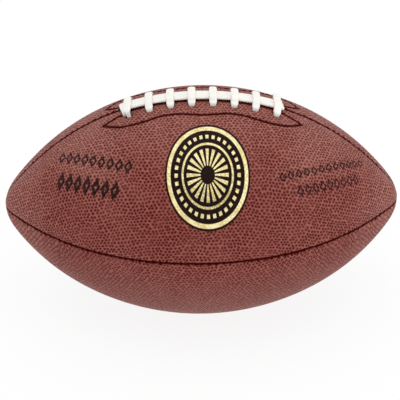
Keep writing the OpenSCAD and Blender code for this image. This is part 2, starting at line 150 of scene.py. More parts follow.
# Zones of the hide, each from where its change starts to where it ends: by height over the
# ball's middle, or by distance along the ball from the lace's middle. Most of them place painted
# sheen and painted shade.
SHOULDER_HEIGHT, SHOULDER_AWAY = (32 * MM, 58 * MM), (35 * MM, 75 * MM)
CROWN_HEIGHT = (54 * MM, 76 * MM)
FOOT_HEIGHT = (-70 * MM, -25 * MM)
POINT_AWAY = (105 * MM, 145 * MM)
UNDERSIDE_HEIGHT = (-36 * MM, 4 * MM)
MID_SHADE_HEIGHT, MID_SHADE_FADE, MID_SHADE_AWAY = (12 * MM, 52 * MM), 12 * MM, (35 * MM, 85 * MM)
WING_TIP_AWAY = (40 * MM, 58 * MM)
TOP_SEAM_HEIGHT = (12 * MM, 30 * MM)

# How far from seams, stitches and holes the hide is smooth or dark, and how far from the slit
# the lace shades it.
SEAM_SMOOTH, HOLE_SMOOTH = (0.2 * MM, 1.8 * MM), (2.0 * MM, 4.0 * MM)
SEAM_SHADE, STITCH_SHADE = (0.4 * MM, 1.5 * MM), (0.5 * MM, 1.8 * MM)
HOLE_SHADE, LACE_SHADE = (2.5 * MM, 3.7 * MM), (6.0 * MM, 7.3 * MM)

# A plain oval badge in foil and black: its middle and half size on the hide, and its rings as
# shares of that half size.
BADGE_AT = (4.6 * MM, 3.6 * MM)
BADGE_HALF = (28.5 * MM, 38.0 * MM)
BADGE_RINGS = ((0.87, 0.955), (0.565, 0.61), (0.70, 0.775), (0.17, 0.49))
BEADS, FLUTES = 32, 20
BADGE_SOFT = 0.008

# Chains of open lozenges in black ink: middle, half size, tilt, how many, and how open each is.
# A lozenge reaches this share of its step to each side.
INK_TILT = radians(15.5)
INK_CHAINS = (((-75.5 * MM, -12.0 * MM), (30.6 * MM, 5.2 * MM), INK_TILT, 9, 0.44),
              ((-80.5 * MM, 5.0 * MM), (26.0 * MM, 7.2 * MM), INK_TILT, 7, 0.30),
              ((89.0 * MM, -5.2 * MM), (37.5 * MM, 3.4 * MM), -INK_TILT, 12, 0.52),
              ((92.5 * MM, 6.0 * MM), (27.5 * MM, 4.2 * MM), -INK_TILT, 9, 0.56))
LOZENGE_SHARE, LOZENGE_SOFT = 0.47, 0.05
CHAIN_SOFT = 0.05 * MM

# Finishes of the pieces inside: dark and light tone, grain size, roughness and grain depth.
INNER_FINISHES = (
    ("facing_split_hide", "5f3a2c", "7c5240", 0.8 * MM, 0.8, 0.1 * MM,
     ("facing_front", "facing_rear")),
    ("tongue_vinyl", "3b241d", "4f3128", 0.5 * MM, 0.6, 0.05 * MM, ("tongue",)),
    ("bladder_rubber", "151516", "1e1e20", 1.5 * MM, 0.42, 0.04 * MM, ("bladder",)),
    ("patch_rubber", "1f1f21", "2b2b2e", 0.6 * MM, 0.62, 0.05 * MM, ("valve_patch",)),
    ("valve_rubber", "141415", "222224", 0.4 * MM, 0.5, 0.03 * MM, ("valve_body",)),
    ("valve_core_rubber", "333336", "47474b", 0.35 * MM, 0.4, 0.02 * MM, ("valve_core",)))
LININGS = ("lining_lace_front", "lining_lace_rear", "lining_lower_front", "lining_lower_rear")
WEAVE_PITCH = 0.9 * MM

# The studio.
CAMERA_AWAY, CAMERA_RISE, CAMERA_ROLL = 813.4 * MM, radians(31.41), radians(1.03)
CAMERA_LENS, CAMERA_SENSOR = 99.23, 36.0
CAMERA_NEAR, CAMERA_FAR = 0.05, 20
IMAGE = 400
SHIFT_PIXELS = (-1.25, -0.65)
WORLD_LIGHT = 0.84
FLOOR_REACH = 4.0
FLOOR_TONE, FLOOR_GLOW, FLOOR_LIGHT = 0.14, 0.87, 0.78
WHITE = (1, 1, 1, 1)
LAMPS = (("soft_top", (0.0, -0.1, 1.7), 1.2, 4.2), ("soft_right", (1.5, -0.8, 0.5), 1.0, 3.6))


def radius_at(x):
    """The ball's radius at a place on its axis, before the panels swell."""
    u = min(abs(x) / HALF_LENGTH, 1.0)
    share = 1 - BELLY_SHARE * u * u - (1 - BELLY_SHARE - POINT_R / BALL_R) * u ** BELLY_POWER
    return BALL_R * share * sqrt(max(0.0, 1 - u ** END_POWER))


def outward_at(x):
    """The cover's outward direction: its share along the axis and its share away from it."""
    rise = radius_at(x + SLOPE_STEP) - radius_at(x - SLOPE_STEP)
    length = hypot(2 * SLOPE_STEP, rise)
    return -rise / length, 2 * SLOPE_STEP / length


def on_cover(x, turn, height=0.0):
    """A point at an axial place and an angle round the ball from the lace, over the cover."""
    n_along, n_away = outward_at(x)
    swell = 1 - SWELL_SHARE * abs(x / HALF_LENGTH) ** SWELL_POWER * cos(4 * turn)
    r = radius_at(x) * swell + height * n_away
    return Vector((x + height * n_along, -r * sin(turn), r * cos(turn)))


def by_lace(x, c, height=0.0):
    """A point by its distance along the lace and from its seam, in metres."""
    x += LACE_X
    return on_cover(x, c / radius_at(x), height)


def smooth_through(points, steps):
    """A smooth line through rows of numbers, with the given steps between two rows."""
    line = []
    for i in range(len(points) - 1):
        before, a, b, after = (points[max(i - 1, 0)], points[i], points[i + 1],
                               points[min(i + 2, len(points) - 1)])
        for step in range(steps):
            t = step / steps
            line.append(tuple(
                0.5 * (2 * q + (r - p) * t + (2 * p - 5 * q + 4 * r - s) * t * t
                       + (3 * q - p - 3 * r + s) * t ** 3)
                for p, q, r, s in zip(before, a, b, after)))
    line.append(tuple(points[-1]))
    return line


def tone(code):
    """A colour written as six hexadecimal digits, as Blender's linear numbers."""
    parts = [int(code[i:i + 2], 16) / 255 for i in (0, 2, 4)]
    return (*(c / 12.92 if c <= 0.04045 else ((c + 0.055) / 1.055) ** 2.4 for c in parts), 1.0)


# Node trees.

def feed(tree, socket, value):
    """Joins a value of the tree to a socket, or sets the socket to a plain value."""
    if isinstance(value, Number):
        value = value.socket
    if isinstance(value, bpy.types.NodeSocket):
        tree.links.new(value, socket)
    else:
        socket.default_value = value


def add(tree, kind, inputs=None, **settings):
    """Adds a node with its settings, and feeds its inputs by name or place."""
    node = tree.nodes.new(kind)
    for name, value in settings.items():
        setattr(node, name, value)
    for key, value in (inputs or {}).items():
        feed(tree, node.inputs[key], value)
    return node


def calc(tree, operation, *values):
    """A number worked out from others by one operation."""
    node = add(tree, "ShaderNodeMath", dict(enumerate(values)), operation=operation)
    return Number(tree, node.outputs[0])


class Number:
    """A number in a node tree. Sums on it add the tree's nodes, so that a formula reads as one."""

    def __init__(self, tree, socket):
        self.tree, self.socket = tree, socket

    def __add__(self, other):
        return self.of("ADD", other)

    def __sub__(self, other):
        return self.of("SUBTRACT", other)

    def __mul__(self, other):
        return self.of("MULTIPLY", other)

    def __truediv__(self, other):
        return self.of("DIVIDE", other)

    def __pow__(self, other):
        return self.of("POWER", other)

    def __rsub__(self, other):
        return calc(self.tree, "SUBTRACT", other, self)

    def __abs__(self):
        return self.of("ABSOLUTE")

    __radd__, __rmul__ = __add__, __mul__

    def of(self, operation, *others):
        return calc(self.tree, operation, self, *others)

    def rise(self, low, high):
        """0 below low, 1 above high, and smooth between them."""
        node = add(self.tree, "ShaderNodeMapRange",
                   {"Value": self, "From Min": low, "From Max": high},
                   interpolation_type="SMOOTHSTEP")
        return Number(self.tree, node.outputs[0])

    def fall(self, low, high):
        return 1 - self.rise(low, high)

    def between(self, low, high, soft):
        return self.rise(low - soft, low + soft) * self.fall(high - soft, high + soft)


def split(tree, vector):
    """The three numbers of a vector."""
    return [Number(tree, s) for s in add(tree, "ShaderNodeSeparateXYZ", {0: vector}).outputs]


def join(tree, x, y, z):
    return add(tree, "ShaderNodeCombineXYZ", {0: x, 1: y, 2: z}).outputs[0]


def cloud(tree, vector, size, detail=2.0, roughness=0.5):
    """A node of soft noise whose patches are about the given size across."""
    return add(tree, "ShaderNodeTexNoise",
               {"Vector": vector, "Scale": 1 / size, "Detail": detail, "Roughness": roughness})


def patchy(tree, *settings):
    """That noise as a number, mostly between 0.3 and 0.7."""
    return Number(tree, cloud(tree, *settings).outputs[0])


def pit_distance(tree, along, across, pitch, stray):
    """The distance to the nearest pit, in pitches: staggered rows whose pits stray a little."""
    nearest = None
    for shift in (0.0, 0.5):
        u, v = along / pitch + shift, across / (pitch * sqrt(3)) + shift
        cell_u, cell_v = u.of("FLOOR"), v.of("FLOOR")
        chance = add(tree, "ShaderNodeTexWhiteNoise",
                     {"Vector": join(tree, cell_u, cell_v, shift)})
        stray_u, stray_v, _ = split(tree, chance.outputs["Color"])
        du = u - cell_u - 0.5 - (stray_u - 0.5) * stray
        dv = (v - cell_v - 0.5) * sqrt(3) - (stray_v - 0.5) * stray
        away = (du * du + dv * dv).of("SQRT")
        nearest = away if nearest is None else nearest.of("MINIMUM", away)
    return nearest


SOCKETS = {float: "NodeSocketFloat", int: "NodeSocketInt", "object": "NodeSocketObject",
           "material": "NodeSocketMaterial"}


def shape_tree(name, sizes):
    """A Geometry Nodes tree with named inputs, and each input as a number or a socket."""
    tree = bpy.data.node_groups.new(name, "GeometryNodeTree")
    tree.interface.new_socket("Geometry", in_out="OUTPUT", socket_type="NodeSocketGeometry")
    for label, value in sizes.items():
        plain = type(value) in SOCKETS
        socket = tree.interface.new_socket(
            label, in_out="INPUT", socket_type=SOCKETS[type(value) if plain else value])
        if plain:
            socket.default_value = value
    start = tree.nodes.new("NodeGroupInput")
    return tree, {label: Number(tree, start.outputs[label]) for label in sizes}


def end_tree(tree, geometry, material):
    """Realizes, smooths and gives the material, as a tree's last steps."""
    real = add(tree, "GeometryNodeRealizeInstances", {"Geometry": geometry})
    soft = add(tree, "GeometryNodeSetShadeSmooth", {"Geometry": real.outputs[0]})
    done = add(tree, "GeometryNodeSetMaterial",
               {"Geometry": soft.outputs[0], "Material": material})
    tree.links.new(done.outputs[0], tree.nodes.new("NodeGroupOutput").inputs[0])


def position(tree):
    return tree.nodes.new("GeometryNodeInputPosition").outputs[0]


def moved(tree, geometry, way, vector):
    """Sets each point's "Position", or moves it by its "Offset"."""
    return add(tree, "GeometryNodeSetPosition", {"Geometry": geometry, way: vector}).outputs[0]


def form_of(tree, piece):
    """The geometry of a helper object."""
    return add(tree, "GeometryNodeObjectInfo", {"Object": piece}).outputs["Geometry"]


def store(tree, geometry, name, value, kind="FLOAT", domain="POINT"):
    """Keeps a value on the mesh under a name, for a finish or a later step."""
    return add(tree, "GeometryNodeStoreNamedAttribute",
               {"Geometry": geometry, "Name": name, "Value": value},
               data_type=kind, domain=domain).outputs[0]


def stored(tree, name, kind="FLOAT"):
    """What an earlier step kept under a name."""
    node = add(tree, "GeometryNodeInputNamedAttribute", {"Name": name}, data_type=kind)
    return Number(tree, node.outputs["Attribute"])


def in_scene(name, data):
    """An object of the given mesh, lamp or camera."""
    item = bpy.data.objects.new(name, data)
    bpy.context.scene.collection.objects.link(item)
    return item


def mesh_object(name, points, edges=(), faces=()):
    mesh = bpy.data.meshes.new(name)
    mesh.from_pydata([tuple(p) for p in points], edges, faces)
    return in_scene(name, mesh)


def grown(name, tree, sizes):
    """Runs a tree with the given inputs and keeps its result as a plain mesh piece."""
    host = mesh_object(name + "_host", [])
    modifier = host.modifiers.new("form", "NODES")
    modifier.node_group = tree
    for item in tree.interface.items_tree:
        if item.in_out == "INPUT" and item.name in sizes:
            modifier[item.identifier] = sizes[item.name]
    view = bpy.context.evaluated_depsgraph_get()
    mesh = bpy.data.meshes.new_from_object(host.evaluated_get(view))
    mesh.name = name
    bpy.data.objects.remove(host)
    return in_scene(name, mesh)


# Finishes.

def give_finish(tree, shader, **values):
    """Feeds the shader's inputs, named in small letters, with the tree's or plain values."""
    for label, value in values.items():
        label = label.replace("_", " ").title().replace("Ior", "IOR")
        feed(tree, shader.inputs[label], value)


def new_finish(name, **constants):
    """A material with its shader's constant values set."""
    material = bpy.data.materials.new(name)
    material.use_nodes = True
    shader = material.node_tree.nodes["Principled BSDF"]
    give_finish(material.node_tree, shader, **constants)
    return material, material.node_tree, shader


def mix(tree, share, first, second):
    """A colour between two others, which may be written as codes."""
    first, second = (tone(c) if isinstance(c, str) else c for c in (first, second))
    # Inputs 6 and 7 and output 2 are the node's colours.
    return add(tree, "ShaderNodeMix", {0: share, 6: first, 7: second}, data_type="RGBA").outputs[2]


def bump(tree, height, depth, under=None):
    """The surface's direction over a relief of the given depth, on top of a finer one."""
    node = add(tree, "ShaderNodeBump", {"Height": height, "Distance": depth})
    if under is not None:
        tree.links.new(under, node.inputs["Normal"])
    return node.outputs[0]


def place_of(tree):
    return add(tree, "ShaderNodeTexCoord").outputs["Object"]


def laid_out(tree, name):
    """The numbers of the piece's own UV map."""
    return split(tree, add(tree, "ShaderNodeUVMap", uv_map=name).outputs[0])


def attribute(tree, name):
    return Number(tree, add(tree, "ShaderNodeAttribute", attribute_name=name).outputs["Fac"])


def lozenge_chain(tree, along, across, centre, half, tilt, count, opening):
    """1 on a printed chain of open lozenges that lies aslant on the hide."""
    right, down = along - centre[0], across - centre[1]
    c, s = cos(tilt), sin(tilt)
    a, b = right * c + down * s, down * c - right * s
    steps = a / (2 * half[0] / count)
    share = (steps + 0.5 if count % 2 else steps).of("FRACT")
    ring = abs(share - 0.5) / LOZENGE_SHARE + abs(b) / half[1]
    inside = abs(a).fall(half[0] - CHAIN_SOFT, half[0] + CHAIN_SOFT)
    return ring.between(opening, 0.99, LOZENGE_SOFT) * inside


def badge(tree, along, across):
    """A plain oval badge: where it is foil, where it is black and where painted shade darkens its
    foil towards the bottom.
    """
    x, y = (along - BADGE_AT[0]) / BADGE_HALF[0], (across - BADGE_AT[1]) / BADGE_HALF[1]
    ring, angle = (x * x + y * y).of("SQRT"), y.of("ARCTAN2", x)
    rim, inner_rim, beads, flutes = (ring.between(*edges, BADGE_SOFT) for edges in BADGE_RINGS)
    beads = beads * (angle * BEADS).of("COSINE").rise(-0.1, 0.1)
    flutes = flutes * (angle * FLUTES).of("COSINE").rise(-0.2, 0.2)
    foil = (rim + inner_rim + beads + flutes).of("MINIMUM", 1.0)
    all_over = ring.fall(1 - BADGE_SOFT, 1 + BADGE_SOFT)
    return foil, all_over, ring.fall(0.6, 0.8) * y.rise(-0.2, 0.5)


def pebbled_leather(name, printed=False):
    """Reddish brown leather: a raised ground with rows of darker round pits."""
    material, tree, shader = new_finish(name)
    along, across, _ = laid_out(tree, "hide")
    flat, place = join(tree, along, across, 0.0), place_of(tree)
    seam, stitch, hole, slit, wing, outer = (
        attribute(tree, label)
        for label in ("seam_away", "stitch_away", "hole_away", "slit_away", "wing", "outer"))
    _, _, height = split(tree, place)
    outwards = abs(along - LACE_X)

    # Painted sheen, paler on the shoulders, the crown, the points and low down.
    painted_sheen = height.rise(*SHOULDER_HEIGHT) * outwards.rise(*SHOULDER_AWAY)
    for zone in (height.rise(*CROWN_HEIGHT) * 0.8, height.fall(*FOOT_HEIGHT) * 0.12,
                 outwards.rise(*POINT_AWAY) * 0.9):
        painted_sheen = painted_sheen.of("MAXIMUM", zone)
    # Painted shade underneath, greyer and darker.
    under = height.fall(*UNDERSIDE_HEIGHT)
    # Painted shade, darker and more saturated, at middle heights near the middle of the ball's
    # length.
    painted_mid_shade = outwards.fall(*MID_SHADE_AWAY) * height.between(*MID_SHADE_HEIGHT, MID_SHADE_FADE)
    smooth_tip = wing * outwards.rise(*WING_TIP_AWAY)

    # The pits, shallower under the painted sheen and the painted shade underneath, and where
    # the hide is sewn or pulled.
    drift_u, drift_v, _ = split(tree, cloud(tree, flat, 17 * MM).outputs["Color"])
    pit_away = pit_distance(tree, along + (drift_u - 0.5) * ROW_WANDER,
                            across + (drift_v - 0.5) * ROW_WANDER, PEBBLE_PITCH, PEBBLE_STRAY)
    uneven = patchy(tree, flat, 7 * MM, 1.0)
    bold = patchy(tree, flat, 16 * MM).rise(0.32, 0.62)
    flattened = (1 - smooth_tip * 0.1) * seam.rise(*SEAM_SMOOTH) * hole.rise(*HOLE_SMOOTH)
    pit = (pit_away.fall(0.10, 0.54 + uneven * 0.12) * flattened * (0.82 + bold * 0.18)
           * (1 - painted_sheen * 0.1) * (1 - under * 0.32))
    grain = patchy(tree, place, 0.7 * MM, 3.0, 0.62)
    crease = add(tree, "ShaderNodeTexVoronoi", {"Vector": place, "Scale": 1 / (1.3 * MM)},
                 feature="DISTANCE_TO_EDGE")
    crease = Number(tree, crease.outputs["Distance"]).fall(0.0, 0.12)

    # Tones, each laid over the one before. The pits' dark tone is partly their own colour and
    # partly painted shade in their hollows.
    worn = patchy(tree, place, 5 * MM).rise(0.45, 0.8)
    colour = mix(tree, patchy(tree, place, 45 * MM, 3.0).rise(0.3, 0.7), "9e564c", "a66056")
    for share, code in ((grain.rise(0.3, 0.75) * 0.35, "85433b"), (worn * 0.18, "ae7368"),
                        (painted_sheen * 0.45, "bd8276"), (painted_mid_shade * 0.3, "8a443c"),
                        (under * 0.4, "85564f"), (smooth_tip * 0.12, "8a6154"),
                        (pit * 0.98, "4a0100")):
        colour = mix(tree, share, colour, code)

    # Dark lines: the seams, dark joints with painted shade in their grooves, the facing's
    # stitching, painted shade round the lace holes and the painted shadow along the lace.
    ragged = (patchy(tree, place, 2.0 * MM, 1.0) - 0.5) * (1.6 * MM)
    # Painted shadows in the seam at each stitch, stronger on the top seam, where the painted shade
    # is also wider.
    seam_stitch_shadow = (along * (2 * pi / SEAM_STITCH_PITCH)).of("COSINE").rise(0.1, 0.95)
    seam_stitch_shadow = seam_stitch_shadow * bold * (0.7 * MM)
    top_seam = height.rise(*TOP_SEAM_HEIGHT)
    dark = (seam + ragged - seam_stitch_shadow * (1 + top_seam) - top_seam * (0.3 * MM)).fall(*SEAM_SHADE)
    for away, shade, share in ((stitch + ragged * 0.6, STITCH_SHADE, 0.92),
                               (hole, HOLE_SHADE, 0.85), (slit, LACE_SHADE, 0.9)):
        dark = dark.of("MAXIMUM", away.fall(*shade) * share)
    colour = mix(tree, dark * 0.97, colour, "3c0100")
    rough = 0.5 + pit * 0.2 + (grain - 0.5) * 0.2 - worn * 0.05
    gloss = 0.17 * (1 - pit * 0.8) * (1 - dark)

    if printed:
        foil, black, painted_foil_shade = badge(tree, along, across)
        thin = 1 - grain.rise(0.42, 0.7) * 0.25
        for chain in INK_CHAINS:
            black = black.of("MAXIMUM", lozenge_chain(tree, along, across, *chain) * thin)
        foil_tone = mix(tree, patchy(tree, flat, 5 * MM, 3.0).rise(0.35, 0.7), "f8ebb6", "e0ca88")
        # Painted shade on the foil inside its rim, darker towards the bottom and flecked with the
        # grain.
        foil_tone = mix(tree, painted_foil_shade * grain.rise(0.35, 0.6) * 0.7, foil_tone, "8a7a40")
        skipped = pit_away.fall(0.1, 0.24) * grain.rise(0.42, 0.6) * 0.75
        foiled = foil * (1 - skipped * 0.4)
        colour = mix(tree, black * (1 - skipped) * 0.97, colour, "0e0b0b")
        colour = mix(tree, foiled, colour, foil_tone)
        rough = rough * (1 - black * 0.25) - foil * 0.1
        gloss = gloss * (1 - black * 0.5)
        give_finish(tree, shader, metallic=foiled * 0.85)

    fine = bump(tree, grain * 0.6 - crease * 0.5, 0.05 * MM)
    give_finish(tree, shader, base_color=mix(tree, outer, "8c6a55", colour),
                roughness=rough, specular_ior_level=gloss,
                normal=bump(tree, 1 - pit, PIT_DEPTH, fine))
    return material


def lace_vinyl():
    """White vinyl lace with a faint drawn grain along it, and painted shade where it sinks into its
    holes.
    """
    material, tree, shader = new_finish("lace_white_vinyl", specular_ior_level=0.4)
    run, side, _ = laid_out(tree, "strip")
    place = place_of(tree)
    drawn = patchy(tree, join(tree, run * 0.12, side, 0.0), 0.5 * MM, 3.0)
    mottle = patchy(tree, place, 4 * MM, 3.0)
    # Painted shade where the lace sinks below the cover into its holes.
    low = attribute(tree, "lace_height").fall(-2.4 * MM, -0.4 * MM)
    colour = mix(tree, mottle.rise(0.35, 0.7) * 0.5, "faf8f2", "f3f0e8")
    fine = bump(tree, patchy(tree, place, 0.6 * MM), 0.03 * MM)
    give_finish(tree, shader, base_color=mix(tree, low * 0.2, colour, "a89a88"),
                roughness=0.36 + mottle * 0.14, normal=bump(tree, drawn, 0.07 * MM, fine))
    return material


def sewing_thread():
    """Dark waxed thread, with the twist of its strands."""
    material, tree, shader = new_finish("dark_waxed_thread", specular_ior_level=0.02)
    twist = add(tree, "ShaderNodeTexWave",
                {"Vector": place_of(tree), "Scale": 1 / (2.6 * MM), "Distortion": 2.0},
                bands_direction="DIAGONAL")
    twist = Number(tree, twist.outputs["Fac"])
    give_finish(tree, shader, base_color=mix(tree, twist, "340302", "4c0a06"),
                roughness=0.45 + twist * 0.2, normal=bump(tree, twist, 0.08 * MM))
    return material


def woven_lining():
    """Plain weave cotton in off-white, seen only where the ball is cut open."""
    material, tree, shader = new_finish("lining_weave", sheen_weight=0.2)
    place = place_of(tree)
    x, y, z = split(tree, place)
    warp = (x * (2 * pi / WEAVE_PITCH)).of("SINE")
    weft = (y.of("ARCTAN2", z) * (BALL_R * 2 * pi / WEAVE_PITCH)).of("SINE")
    weave = warp * weft * 0.5 + 0.5
    soiled = patchy(tree, place, 12 * MM, 3.0)
    cloth = mix(tree, weave, "b8ab8b", "ddd2b6")
    give_finish(tree, shader, base_color=mix(tree, soiled * 0.25, cloth, "a28f6d"),
                roughness=0.85 + weave * 0.1, normal=bump(tree, weave, 0.12 * MM))
    return material


def dull_finish(name, dark, light, grain_size, roughness, depth):
    """A plain moulded or split-hide finish with a fine mottle."""
    material, tree, shader = new_finish(name)
    place = place_of(tree)
    grain = patchy(tree, place, grain_size, 4.0, 0.6)
    patches = patchy(tree, place, grain_size * 20).rise(0.4, 0.8)
    colour = mix(tree, grain.rise(0.3, 0.7), dark, light)
    give_finish(tree, shader, base_color=mix(tree, patches * 0.3, colour, dark),
                roughness=roughness + (grain - 0.5) * 0.15, normal=bump(tree, grain, depth))
    return material


# Cover panels.

def point_to_point(tree, size):
    """The ball's outline over its axis as a curve, which is read by its length."""
    line = add(tree, "GeometryNodeCurvePrimitiveLine", {"Start": (-1, 0, 0), "End": (1, 0, 0)})
    fine = add(tree, "GeometryNodeResampleCurve",
               {"Curve": line.outputs[0], "Count": OUTLINE_POINTS})
    blunt = (size["Pinhole radius"] / size["Point radius"]) ** 2 / size["End power"]
    share, _, _ = split(tree, position(tree))
    u = (share * (1 - blunt).of("ARCSINE")).of("SINE")
    away = abs(u)
    point_share = size["Point radius"] / size["Ball radius"]
    outline = size["Ball radius"] * (
        1 - size["Belly share"] * u * u
        - (1 - size["Belly share"] - point_share) * away ** size["Belly power"])
    outline = outline * (1 - away ** size["End power"]).of("MAXIMUM", 0.0).of("SQRT")
    return moved(tree, fine.outputs[0], "Position",
                 join(tree, u * size["Half length"], 0.0, outline))


def measured(tree, size, geometry):
    """Keeps each point's distance to the stitching, its wing and the holes on the shaped panel."""
    at = position(tree)
    for label, name, element in (("Stitch line", "stitch_away", "EDGES"), ("Wing", "wing", "FACES"),
                                 ("Hole centres", "hole_away", "POINTS")):
        near = add(tree, "GeometryNodeProximity",
                   {"Geometry": form_of(tree, size[label]), "Sample Position": at},
                   target_element=element)
        # A panel without such a helper reads a metre, which is out of reach.
        found = Number(tree, near.outputs["Distance"]) + (
            1 - Number(tree, near.outputs["Is Valid"]))
        if name == "wing":
            found = found.fall(*WING_EDGE)
        geometry = store(tree, geometry, name, found)
    return geometry


def cover_panel_tree():
    """One quarter of the cover as a closed shell, with grooved seams and dimpled holes."""
    tree, size = shape_tree("cover_panel", {
        "Half length": HALF_LENGTH, "Ball radius": BALL_R, "Point radius": POINT_R,
        "Pinhole radius": PINHOLE_R, "Belly share": BELLY_SHARE, "Belly power": BELLY_POWER,
        "End power": END_POWER, "Swell share": SWELL_SHARE, "Swell power": SWELL_POWER,
        "First seam": 0.0, "Cover thickness": COVER_T, "Turned thickness": TURNED_T,
        "Turned width": TURNED_W, "Groove depth": GROOVE_D, "Groove width": GROOVE_W,
        "Seam gap": SEAM_GAP, "Slit gap": SLIT_GAP, "Slit length": SLIT_LENGTH, "Slit side": 0.0,
        "Slit middle": LACE_X, "Dimple depth": DIMPLE_D, "Dimple radius": DIMPLE_R,
        "Stitch line depth": STITCH_LINE_D, "Rows": PANEL_ROWS, "Columns": PANEL_COLUMNS,
        "Stitch line": "object", "Wing": "object", "Hole centres": "object",
        "Hole cutters": "object", "Material": "material"})
    outline = point_to_point(tree, size)

    # A slab of rows and columns, whose places are read as shares of the panel.
    slab = add(tree, "GeometryNodeMeshCube",
               {"Size": (1, 2, 1), "Vertices X": size["Rows"], "Vertices Y": size["Columns"],
                "Vertices Z": 2})
    row, column, layer = split(tree, position(tree))
    station = add(tree, "GeometryNodeSampleCurve", {"Curves": outline, "Factor": row + 0.5},
                  mode="FACTOR", use_all_curves=True)
    x, _, r = split(tree, station.outputs["Position"])
    slope_x, _, slope_r = split(tree, station.outputs["Tangent"])
    n_along, n_away = 0 - slope_r, slope_x
    across = 0 - column * (1 + EDGE_CROWDING - column * column * EDGE_CROWDING)
    seam_away = (1 - abs(across)) * (pi / 4) * r
    in_slit = (across.of("SIGN") * size["Slit side"]).of("MAXIMUM", 0.0) * (
        abs(x - size["Slit middle"]) - size["Slit length"] / 2).fall(-SLIT_TAPER, SLIT_TAPER)
    half_gap = (size["Seam gap"] + size["Slit gap"] * in_slit) / 2
    turn = size["First seam"] + pi / 4 + across * (pi / 4 - half_gap / r)

    # The groove outside and the turned-in edge inside.
    groove_w = size["Groove width"].of("MINIMUM", r * GROOVE_SHARE)
    lip = (1 - seam_away / groove_w).of("MAXIMUM", 0.0) ** GROOVE_POWER
    turned_w = size["Turned width"].of("MINIMUM", r * TURNED_SHARE)
    inside = size["Cover thickness"] + seam_away.fall(0.98 * turned_w, turned_w) * (
        size["Turned thickness"] - size["Cover thickness"])
    outer = layer.rise(-0.1, 0.1)
    depth = outer * lip * size["Groove depth"] + (1 - outer) * inside
    swollen = abs(x / size["Half length"]) ** size["Swell power"]
    swell = 1 - size["Swell share"] * swollen * (turn * 4).of("COSINE")
    reach = r * swell - depth * n_away
    placed = join(tree, x - depth * n_along, 0 - reach * turn.of("SINE"),
                  reach * turn.of("COSINE"))

    # What the finish reads: the hide laid flat, and the distance to the seam.
    length = Number(tree, add(tree, "GeometryNodeCurveLength", {0: outline}).outputs[0])
    hide = join(tree, row * length, across * (pi / 4) * r, 0.0)
    out_way = join(tree, n_along, 0 - n_away * turn.of("SINE"), n_away * turn.of("COSINE"))
    geometry = store(tree, slab.outputs[0], "hide", hide, "FLOAT2", "CORNER")
    geometry = store(tree, geometry, "seam_away", seam_away)
    geometry = store(tree, geometry, "slit_away", seam_away + (1 - in_slit))
    geometry = store(tree, geometry, "outer", outer)
    geometry = store(tree, geometry, "out_way", out_way, "FLOAT_VECTOR")
    geometry = moved(tree, geometry, "Position", placed)

    # The outside sinks along the stitching and round the holes.
    geometry = measured(tree, size, geometry)
    stitch, hole = stored(tree, "stitch_away"), stored(tree, "hole_away")
    sunk = (stitch.fall(0.0, STITCH_LINE_W) * size["Stitch line depth"]
            + hole.fall(HOLE_R * 0.8, size["Dimple radius"]) * size["Dimple depth"])
    sunk = sunk * stored(tree, "outer")
    offset = join(tree, *(0 - part * sunk
                          for part in split(tree, stored(tree, "out_way", "FLOAT_VECTOR"))))
    geometry = moved(tree, geometry, "Offset", offset)
    cut = add(tree, "GeometryNodeMeshBoolean",
              {"Mesh 1": geometry, "Mesh 2": form_of(tree, size["Hole cutters"])},
              operation="DIFFERENCE", solver="MANIFOLD")
    end_tree(tree, cut.outputs[0], size["Material"])
    return tree


def cross_x(k):
    """The place of a cross stitch along the lace."""
    return (k - LAST / 2) * LACE_PITCH


def hole_at(k):
    """How far its hole is from the seam, in a row that bows outwards at both ends."""
    return HOLE_C + HOLE_BOW * (2 * k / LAST - 1) ** 2


# Each end of the long strand has a hole beside that of an end stitch, and nearer the seam.
ELBOW_X = cross_x(0) - SHARED_W
ELBOW_C = hole_at(0) - (CROSS_T + LACE_GAP) * 1.3


def front_hole(k):
    """The place of a cross stitch's front hole, along the lace and from the seam."""
    return cross_x(k) + (SHARED_W * 0.1 if k == 0 else 0), hole_at(k)


def rear_hole(k):
    """The rear row is the front one turned half round the lace's middle."""
    x, c = front_hole(LAST - k)
    return -x, -c


def lace_hole_places(side):
    """The holes of one row: side is 1 at the front and -1 at the rear."""
    yield side * ELBOW_X * MM, side * ELBOW_C * MM
    for k in range(CROSSES):
        x, c = front_hole(k) if side > 0 else rear_hole(k)
        yield x * MM, c * MM


def tube_faces(first, rings, sides):
    """The faces that join rings of points in turn and close both ends, from the first point on."""
    last = first + (rings - 1) * sides
    faces = [(ring + k, ring + (k + 1) % sides, ring + (k + 1) % sides + sides, ring + k + sides)
             for ring in range(first, last, sides) for k in range(sides)]
    return faces + [tuple(range(first, first + sides))[::-1], tuple(range(last, last + sides))]


def cutter(points, faces, centre, way, radius, sides):
    """Adds a round cutter along a direction to lists of points and faces."""
    turn = way.to_track_quat("Z", "X").to_matrix()
    faces += tube_faces(len(points), 2, sides)
    for end in (-1, 1):
        for i in range(sides):
            a = 2 * pi * i / sides
            points.append(centre + turn @ Vector((radius * cos(a), radius * sin(a),
                                                  end * CUTTER_LENGTH / 2)))


def hole_helpers(name, side):
    """Points at the holes of one laced panel and the cutters that make them."""
    centres, points, faces = [], [], []
    for x, c in lace_hole_places(side):
        centre = by_lace(x, c)
        way = (by_lace(x, c, 1 * MM) - centre).normalized()
        centres.append(centre)
        cutter(points, faces, centre, way, HOLE_R, HOLE_SIDES)
    if side < 0:
        centre = on_cover(0.0, VALVE_TURN)
        cutter(points, faces, centre, centre.normalized(), VALVE_HOLE_R, VALVE_HOLE_SIDES)
    return (mesh_object(name + "_centres", centres),
            mesh_object(name + "_cutters", points, faces=faces))


